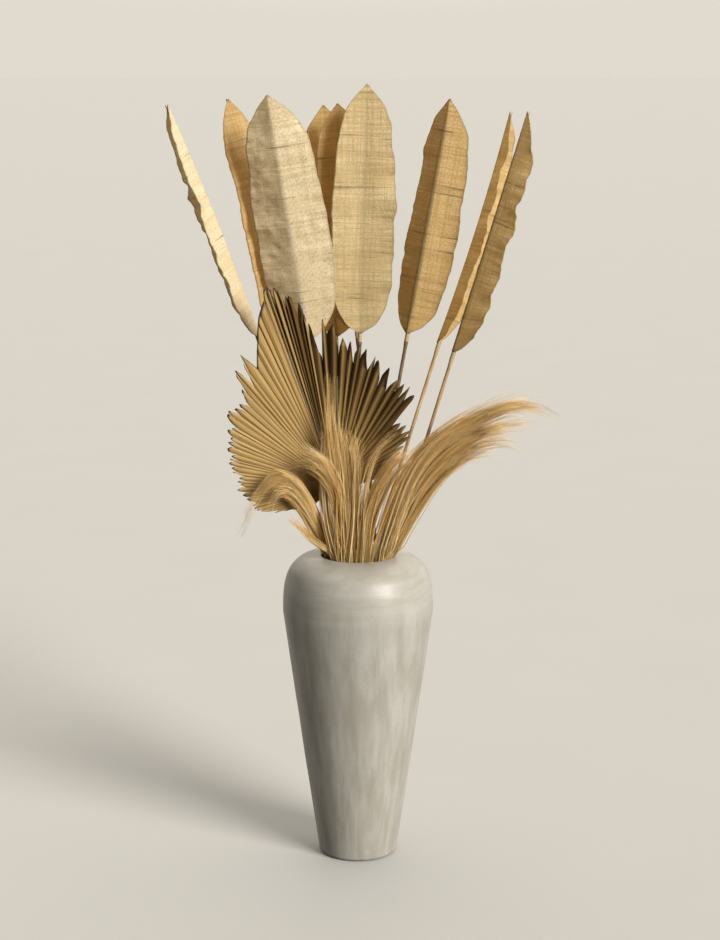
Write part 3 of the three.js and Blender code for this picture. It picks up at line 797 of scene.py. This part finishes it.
def leaf_stick(number, leaf, woods, wrap):
    rib_at = leaf_frame(leaf)[2]
    foot = np.array(leaf["foot"], float)
    base = rib_at(0.0)
    bare = np.linalg.norm(base - foot)
    lower = np.linspace(0, 1, STICK_RINGS)[:, None] * (base - foot) + foot
    upper = rib_at(np.linspace(0, 1, STICK_RINGS)[1:])
    path = np.concatenate([lower, upper])
    length = np.concatenate([[0], np.cumsum(np.linalg.norm(np.diff(path, axis=0), axis=1))])
    share = np.clip((length - bare) / leaf["length"], 0, 1)
    radius = STICK_RADIUS + (STICK_TIP_RADIUS - STICK_RADIUS) * share
    radius = np.where(share > WIRE_FROM, WIRE_RADIUS, radius)
    from_knot = np.mod(length + 37 * number, KNOT_SPACING) - KNOT_SPACING / 2
    knots = KNOT_HEIGHT * np.exp(-(from_knot / KNOT_LENGTH) ** 2)
    taped = (length > bare - TAPE_LENGTH) & (length < bare + TAPE_OVERLAP)
    radius = radius + knots + np.where(taped, TAPE_THICKNESS, 0)
    points = tube_points(path[None], radius[None], STICK_SIDES).reshape(-1, 3)
    rough = BARK_HEIGHT * lumps(points * (1, 1, 0.25), BARK_SIZE) * np.repeat(share < 0.9, STICK_SIDES)
    points = points + unit(points - np.repeat(path, STICK_SIDES, axis=0)) * rough[:, None]
    rings = len(path)
    turn = np.tile(np.arange(STICK_SIDES) / STICK_SIDES, rings)
    layers = {"stick": np.stack([turn, np.repeat(length * MM, STICK_SIDES)], axis=1)}
    faces = tube_faces(1, rings, STICK_SIDES)
    wrapped = np.repeat(taped[:-1] & taped[1:], STICK_SIDES)
    face_materials = np.concatenate([wrapped, [False, False]])
    return make_piece(
        f"stick_{number}", points, faces, layers, [woods[leaf["stick"]], wrap],
        [f"leaf_stick_{number}"], face_materials,
    )


# Palm fan

def palm_fan(rng):
    angles, reaches = np.array(PALM_OUTLINE, float).T
    ends = [angles[0]]
    while ends[-1] < angles[-1]:
        width = np.interp(ends[-1], *zip(*PALM_LEAFLET_WIDTHS))
        ends.append(ends[-1] + width * rng.uniform(*PALM_UNEVEN))
    ends = np.minimum(ends, angles[-1])
    leaflets = len(ends) - 1
    whole = (ends > PALM_WHOLE[0]) & (ends < PALM_WHOLE[1])
    valleys = -rng.uniform(*PALM_CREST, leaflets + 1)
    splits = np.where(whole, 1.0, rng.uniform(*PALM_SPLITS, leaflets + 1))
    all_points, all_faces, leaflet_layer, fan_layer = [], [], [], []
    across, t = np.meshgrid(np.linspace(-1, 1, PALM_COLUMNS + 1), np.linspace(0, 1, PALM_ROWS + 1))
    faces = sheet_faces(PALM_COLUMNS, PALM_ROWS)
    for k in range(leaflets):
        middle, half = (ends[k] + ends[k + 1]) / 2, (ends[k + 1] - ends[k]) / 2
        on_right = middle < PALM_FOLD_ANGLE
        in_band = PALM_SHADED_BAND[0] < middle < PALM_SHADED_BAND[1]
        split = np.where(across < 0, splits[k], splits[k + 1])
        past = np.clip((t - split) / np.maximum(1 - split, 0.001), 0, 1)
        narrow = 1 - past * rng.uniform(0.15, 0.6)
        degrees = middle + half * across * narrow + rng.normal(0, 0.4) * past
        angle = np.radians(degrees)
        peak, slant = rng.uniform(-0.6, 0.6), rng.normal(0, 0.015)
        if on_right:
            tooth = RIGHT_TOOTH - RIGHT_TOOTH_SLOPE * np.abs(across - peak)
        else:
            tooth = LEFT_TOOTH - LEFT_TOOTH_SLOPE * np.abs(across) + slant * across
        if whole[k] and whole[k + 1]:
            tooth = np.ones_like(across)
        else:
            tooth = tooth + rng.normal(0, TOOTH_UNEVEN)
        reach = np.interp(middle + half * across, angles, reaches) * tooth
        radius = PALM_INNER_RADIUS + (reach - PALM_INNER_RADIUS) * t
        crest = rng.uniform(-0.35, 0.35)
        profile = np.interp(across, (-1, crest, 1), (valleys[k], rng.uniform(*PALM_CREST), valleys[k + 1]))
        depth = PALM_PLEAT_DEPTH * (BAND_PLEAT if in_band else RIGHT_PLEAT if on_right else LEFT_PLEAT)
        rise = radius * np.sin(angle)
        from_fold = np.abs(np.sin(np.radians(degrees - PALM_FOLD_ANGLE)))
        curl = past ** 2 * rng.normal(0, TIP_CURL)
        forward = PALM_LEAN * rise + PALM_FOLD * radius * from_fold + radius * depth * profile + curl
        for side in (1, -1):
            place = forward + side * PALM_THICKNESS / 2
            point = np.stack([radius * np.cos(angle), -place, rise], axis=-1) + np.array(PALM_HUB)
            all_points.append(point.reshape(-1, 3))
            leaflet_layer.append(np.stack([k + 0.5 + 0.499 * across, t], axis=-1).reshape(-1, 2))
            fan_layer.append(np.stack([degrees, t], axis=-1).reshape(-1, 2))
        all_faces.append(faces + 2 * k * t.size)
    layers = {"leaflet": np.concatenate(leaflet_layer), "fan": np.concatenate(fan_layer)}
    make_piece(
        "pleated_palm", np.concatenate(all_points), np.concatenate(all_faces).tolist(), layers,
        [palm()], ["palm_fan"],
    )


def palm_stem(wood):
    t = np.linspace(0, 1, STICK_RINGS)
    path = smooth_curve(PALM_STEM_PATH, t)
    points = tube_points(path[None], np.full((1, STICK_RINGS), PALM_STEM_RADIUS), STICK_SIDES).reshape(-1, 3)
    points = points + 0.3 * lumps(points * (1, 1, 0.25), 7)[:, None] * np.array([1, 1, 0])
    turn = np.tile(np.arange(STICK_SIDES) / STICK_SIDES, STICK_RINGS)
    layers = {"stick": np.stack([turn, np.repeat(t * 0.72, STICK_SIDES)], axis=1)}
    faces = tube_faces(1, STICK_RINGS, STICK_SIDES)
    make_piece("palm_stalk", points, faces, layers, [wood], ["palm_stem"])


# Grass tufts

def scatter(rng, size):
    """A random offset with few far ones, flatter from front to back than sideways."""
    return np.clip(rng.normal(0, 1, 3), -1.6, 1.6) * (1, 0.5, 1) * size


def strands_of(tuft, rng):
    """Paths, radii and tints of a tuft's strands, which rise from the mouth and part into locks."""
    t = np.linspace(0, 1, STRAND_POINTS)
    foot, top = np.array(tuft["foot"], float), np.array(tuft["top"], float)
    below = (foot - top) * STRAND_DEPTH / (top[2] - foot[2])
    routes = [[np.array(points[0]) + below, *points] for points in tuft["guides"]]
    guides = np.stack([smooth_curve(route, t) for route in routes])
    spread = tuft["spread"]
    paths, radii, tints = [], [], []
    for _ in range(tuft["locks"]):
        place = rng.uniform(0, len(guides) - 1)
        place = place + LOCK_PULL * (round(place) - place)
        low = min(int(place), len(guides) - 2)
        lock = guides[low] + (guides[low + 1] - guides[low]) * (place - low)
        turn, out = rng.uniform(0, 2 * np.pi), math.sqrt(rng.uniform(0, 1)) * tuft["bundle"]
        root = np.array([1.5 * math.cos(turn), 0.7 * math.sin(turn), 0]) * out
        lock = lock + root * (1 - t[:, None]) ** 2 + scatter(rng, spread) * t[:, None]
        lock_cut = rng.uniform(*LOCK_LENGTHS)
        for _ in range(tuft["clumps"]):
            loose = rng.uniform() < LOOSE_SHARE
            share = t * rng.uniform(*CLUMP_LENGTHS) * (1 if loose else lock_cut)
            path = np.stack([np.interp(share, t, axis) for axis in lock.T], axis=-1)
            own = scatter(rng, spread * CLUMP_BEND) * np.sin(np.pi * (0.2 + 0.65 * share))[:, None]
            stray = scatter(rng, spread * (LOOSE_STRAY if loose else CLUMP_STRAY)) * share[:, None] ** 2
            swing = scatter(rng, spread * CLUMP_CROSSING)
            across = swing * np.sin(np.pi * (share * rng.uniform(*CROSSINGS)))[:, None]
            tint = rng.uniform(0, 1)
            for _ in range(1 if loose else STRANDS_IN_CLUMP):
                fray = scatter(rng, CLUMP_SPREAD) * (0.5 + 2 * share[:, None] ** 2)
                paths.append(path + own + stray + across + fray)
                thick = rng.uniform(*STRAND_RADII) * (LOOSE_THICKNESS if loose else 1.0)
                radii.append(thick * (1 - STRAND_TAPER * t ** 1.5))
                tints.append(np.clip(tint + rng.normal(0, STRAND_TINTS), 0, 1))
    for _ in range(STEMS_IN_VASE):
        turn, out = rng.uniform(0, 2 * np.pi), math.sqrt(rng.uniform(0, 1))
        side = np.array([math.cos(turn), math.sin(turn), 0]) * out
        out_by = STEMS_RADIUS + (tuft["bundle"] - STEMS_RADIUS) * t[:, None] ** 2
        paths.append(foot + (top + below - foot) * t[:, None] + side * out_by)
        radii.append(np.full(STRAND_POINTS, STEM_RADIUS))
        tints.append(STEM_TINT)
    return held_by_mouth(np.array(paths)), np.array(radii), np.array(tints)


def held_by_mouth(paths):
    """The paths with what is as low as the vase's mouth drawn in to clear its lip."""
    from_middle = np.linalg.norm(paths[..., :2], axis=-1)
    most = np.where(paths[..., 2] < VASE_HEIGHT + LIP_REACH, MOUTH_RADIUS - LIP_CLEARANCE, np.inf)
    paths[..., :2] *= np.minimum(1, most / from_middle)[..., None]
    return paths


def tuft_of_grass(name, tuft, material, rng):
    paths, radii, tints = strands_of(tuft, rng)
    points = tube_points(paths, radii, STRAND_SIDES)
    count = len(paths)
    tint = np.broadcast_to(tints[:, None, None], points.shape[:3])
    along = np.broadcast_to(np.linspace(0, 1, STRAND_POINTS)[:, None], points.shape[:3])
    layers = {"strand": np.stack([tint, along], axis=-1).reshape(-1, 2)}
    faces = tube_faces(count, STRAND_POINTS, STRAND_SIDES)
    make_piece(name + "_strands", points.reshape(-1, 3), faces, layers, [material], [name])


# Floor, light and camera

def floor():
    s = Surface("pale_floor")
    colour = s.mix(s.noise(s.spread(*s.place()), 3.0, 3.0), (0.38, 0.375, 0.364), (0.40, 0.394, 0.384))
    material = s.done(s.principled(colour, 0.7))
    mesh = bpy.data.meshes.new("floor")
    corners = [(FLOOR_REACH * x, FLOOR_REACH * y, 0) for x, y in ((-1, -1), (1, -1), (1, 1), (-1, 1))]
    mesh.from_pydata(corners, [], [(0, 1, 2, 3)])
    mesh.materials.append(material)
    plane = bpy.data.objects.new("floor", mesh)
    bpy.context.scene.collection.objects.link(plane)
    plane.visible_diffuse = False


def lights():
    turn, rise = math.radians(KEY_TURN), math.radians(KEY_RISE)
    towards = Vector((math.sin(turn) * math.cos(rise), -math.cos(turn) * math.cos(rise), math.sin(rise)))
    lamp = bpy.data.lights.new("key", "SUN")
    lamp.energy = KEY_STRENGTH
    lamp.angle = math.radians(KEY_SPREAD)
    lamp.color = KEY_COLOUR
    key = bpy.data.objects.new("key", lamp)
    key.rotation_euler = towards.to_track_quat("Z", "Y").to_euler()
    bpy.context.scene.collection.objects.link(key)
    room = Room("room")
    direction = room.node("ShaderNodeTexCoord").outputs["Generated"]
    facing = room.node("ShaderNodeVectorMath", operation="DOT_PRODUCT")
    room.feed(facing.inputs[0], direction)
    room.feed(facing.inputs[1], ROOM_BRIGHT_SIDE)
    brightness = room.between(facing.outputs["Value"], *ROOM_RISE, ROOM_BASE, ROOM_BASE + ROOM_BACK)
    split = room.node("ShaderNodeSeparateXYZ")
    room.feed(split.inputs[0], direction)
    horizon = room.between(room.math("ABSOLUTE", split.outputs["Z"]), *HORIZON_RISE, HORIZON_GLOW, 0.0)
    shine = room.tree.nodes["Background"]
    room.feed(shine.inputs["Color"], ROOM_COLOUR)
    room.feed(shine.inputs["Strength"], room.math("MAXIMUM", brightness, horizon))
    bpy.context.scene.world = room.world


def camera():
    lens = bpy.data.cameras.new("camera")
    lens.sensor_width = SENSOR
    lens.lens = FOCAL_PIXELS / FRAME_HEIGHT * SENSOR
    eye = bpy.data.objects.new("camera", lens)
    eye.location = CAMERA_PLACE
    eye.rotation_euler = (math.radians(90 - CAMERA_PITCH), 0, 0)
    bpy.context.scene.collection.objects.link(eye)
    bpy.context.scene.camera = eye
    bpy.context.scene.view_settings.view_transform = "Standard"


def bouquet():
    rng = np.random.default_rng(SEED)
    cloths = {
        "cream": woven("cream", (0.88, 0.80, 0.60), (0.66, 0.54, 0.33), (0.95, 0.78, 0.46), 0.38, 0.0, 0.6),
        "straw": woven("straw", (0.82, 0.71, 0.46), (0.55, 0.42, 0.20), (0.9, 0.72, 0.4), 0.4, 0.15, 0.25),
        "gold": woven("gold", (0.86, 0.70, 0.41), (0.54, 0.38, 0.15), (0.95, 0.72, 0.36), 0.5, 0.5, 0.25),
        "amber": woven("amber", (0.78, 0.61, 0.34), (0.52, 0.36, 0.15), (0.9, 0.66, 0.32), 0.58, 0.1, 0.25),
    }
    woods = {
        "dark": bark("dark", (0.17, 0.105, 0.05), (0.075, 0.04, 0.018)),
        "tan": bark("tan", (0.46, 0.30, 0.14), (0.24, 0.14, 0.06)),
    }
    wrap = tape()
    grass = straw()
    vase()
    for number, values in enumerate(LEAVES, 1):
        leaf = dict(zip(LEAF_WORDS, values))
        stick = leaf_stick(number, leaf, woods, wrap)
        blade(number, leaf, cloths)
    palm_fan(rng)
    palm_stem(woods["tan"])
    for name, tuft in TUFTS.items():
        tuft_of_grass(name, tuft, grass, rng)


camera()
lights()
floor()
bouquet()
